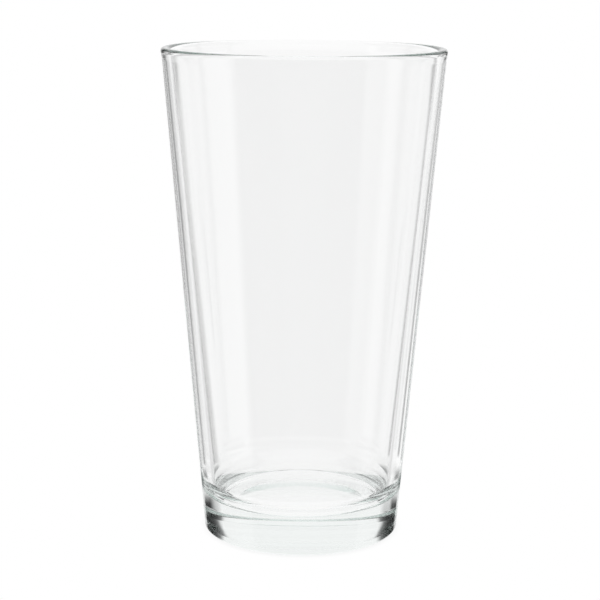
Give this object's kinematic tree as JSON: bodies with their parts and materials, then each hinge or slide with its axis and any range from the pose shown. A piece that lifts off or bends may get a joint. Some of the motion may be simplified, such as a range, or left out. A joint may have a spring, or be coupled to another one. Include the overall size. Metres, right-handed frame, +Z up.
{
  "type": "mixing glass",
  "caption": "Straight-tapered clear glass tumbler with a heavy flat foot and a rounded, beaded rim, used as the glass half of a cocktail shaker or as a beer glass.",
  "frame": {"origin": "centre of the plane the foot stands on", "axes": "+Z up along the axis of revolution, from the foot to the mouth; +X and +Y are arbitrary, because the glass is round"},
  "size_m": [0.0858, 0.0857, 0.1492],
  "materials": {
    "clear_glass": "clear fire-polished gloss"
  },
  "bodies": {
    "root": {"mixing_glass": "clear_glass"}
  },
  "joints": []
}
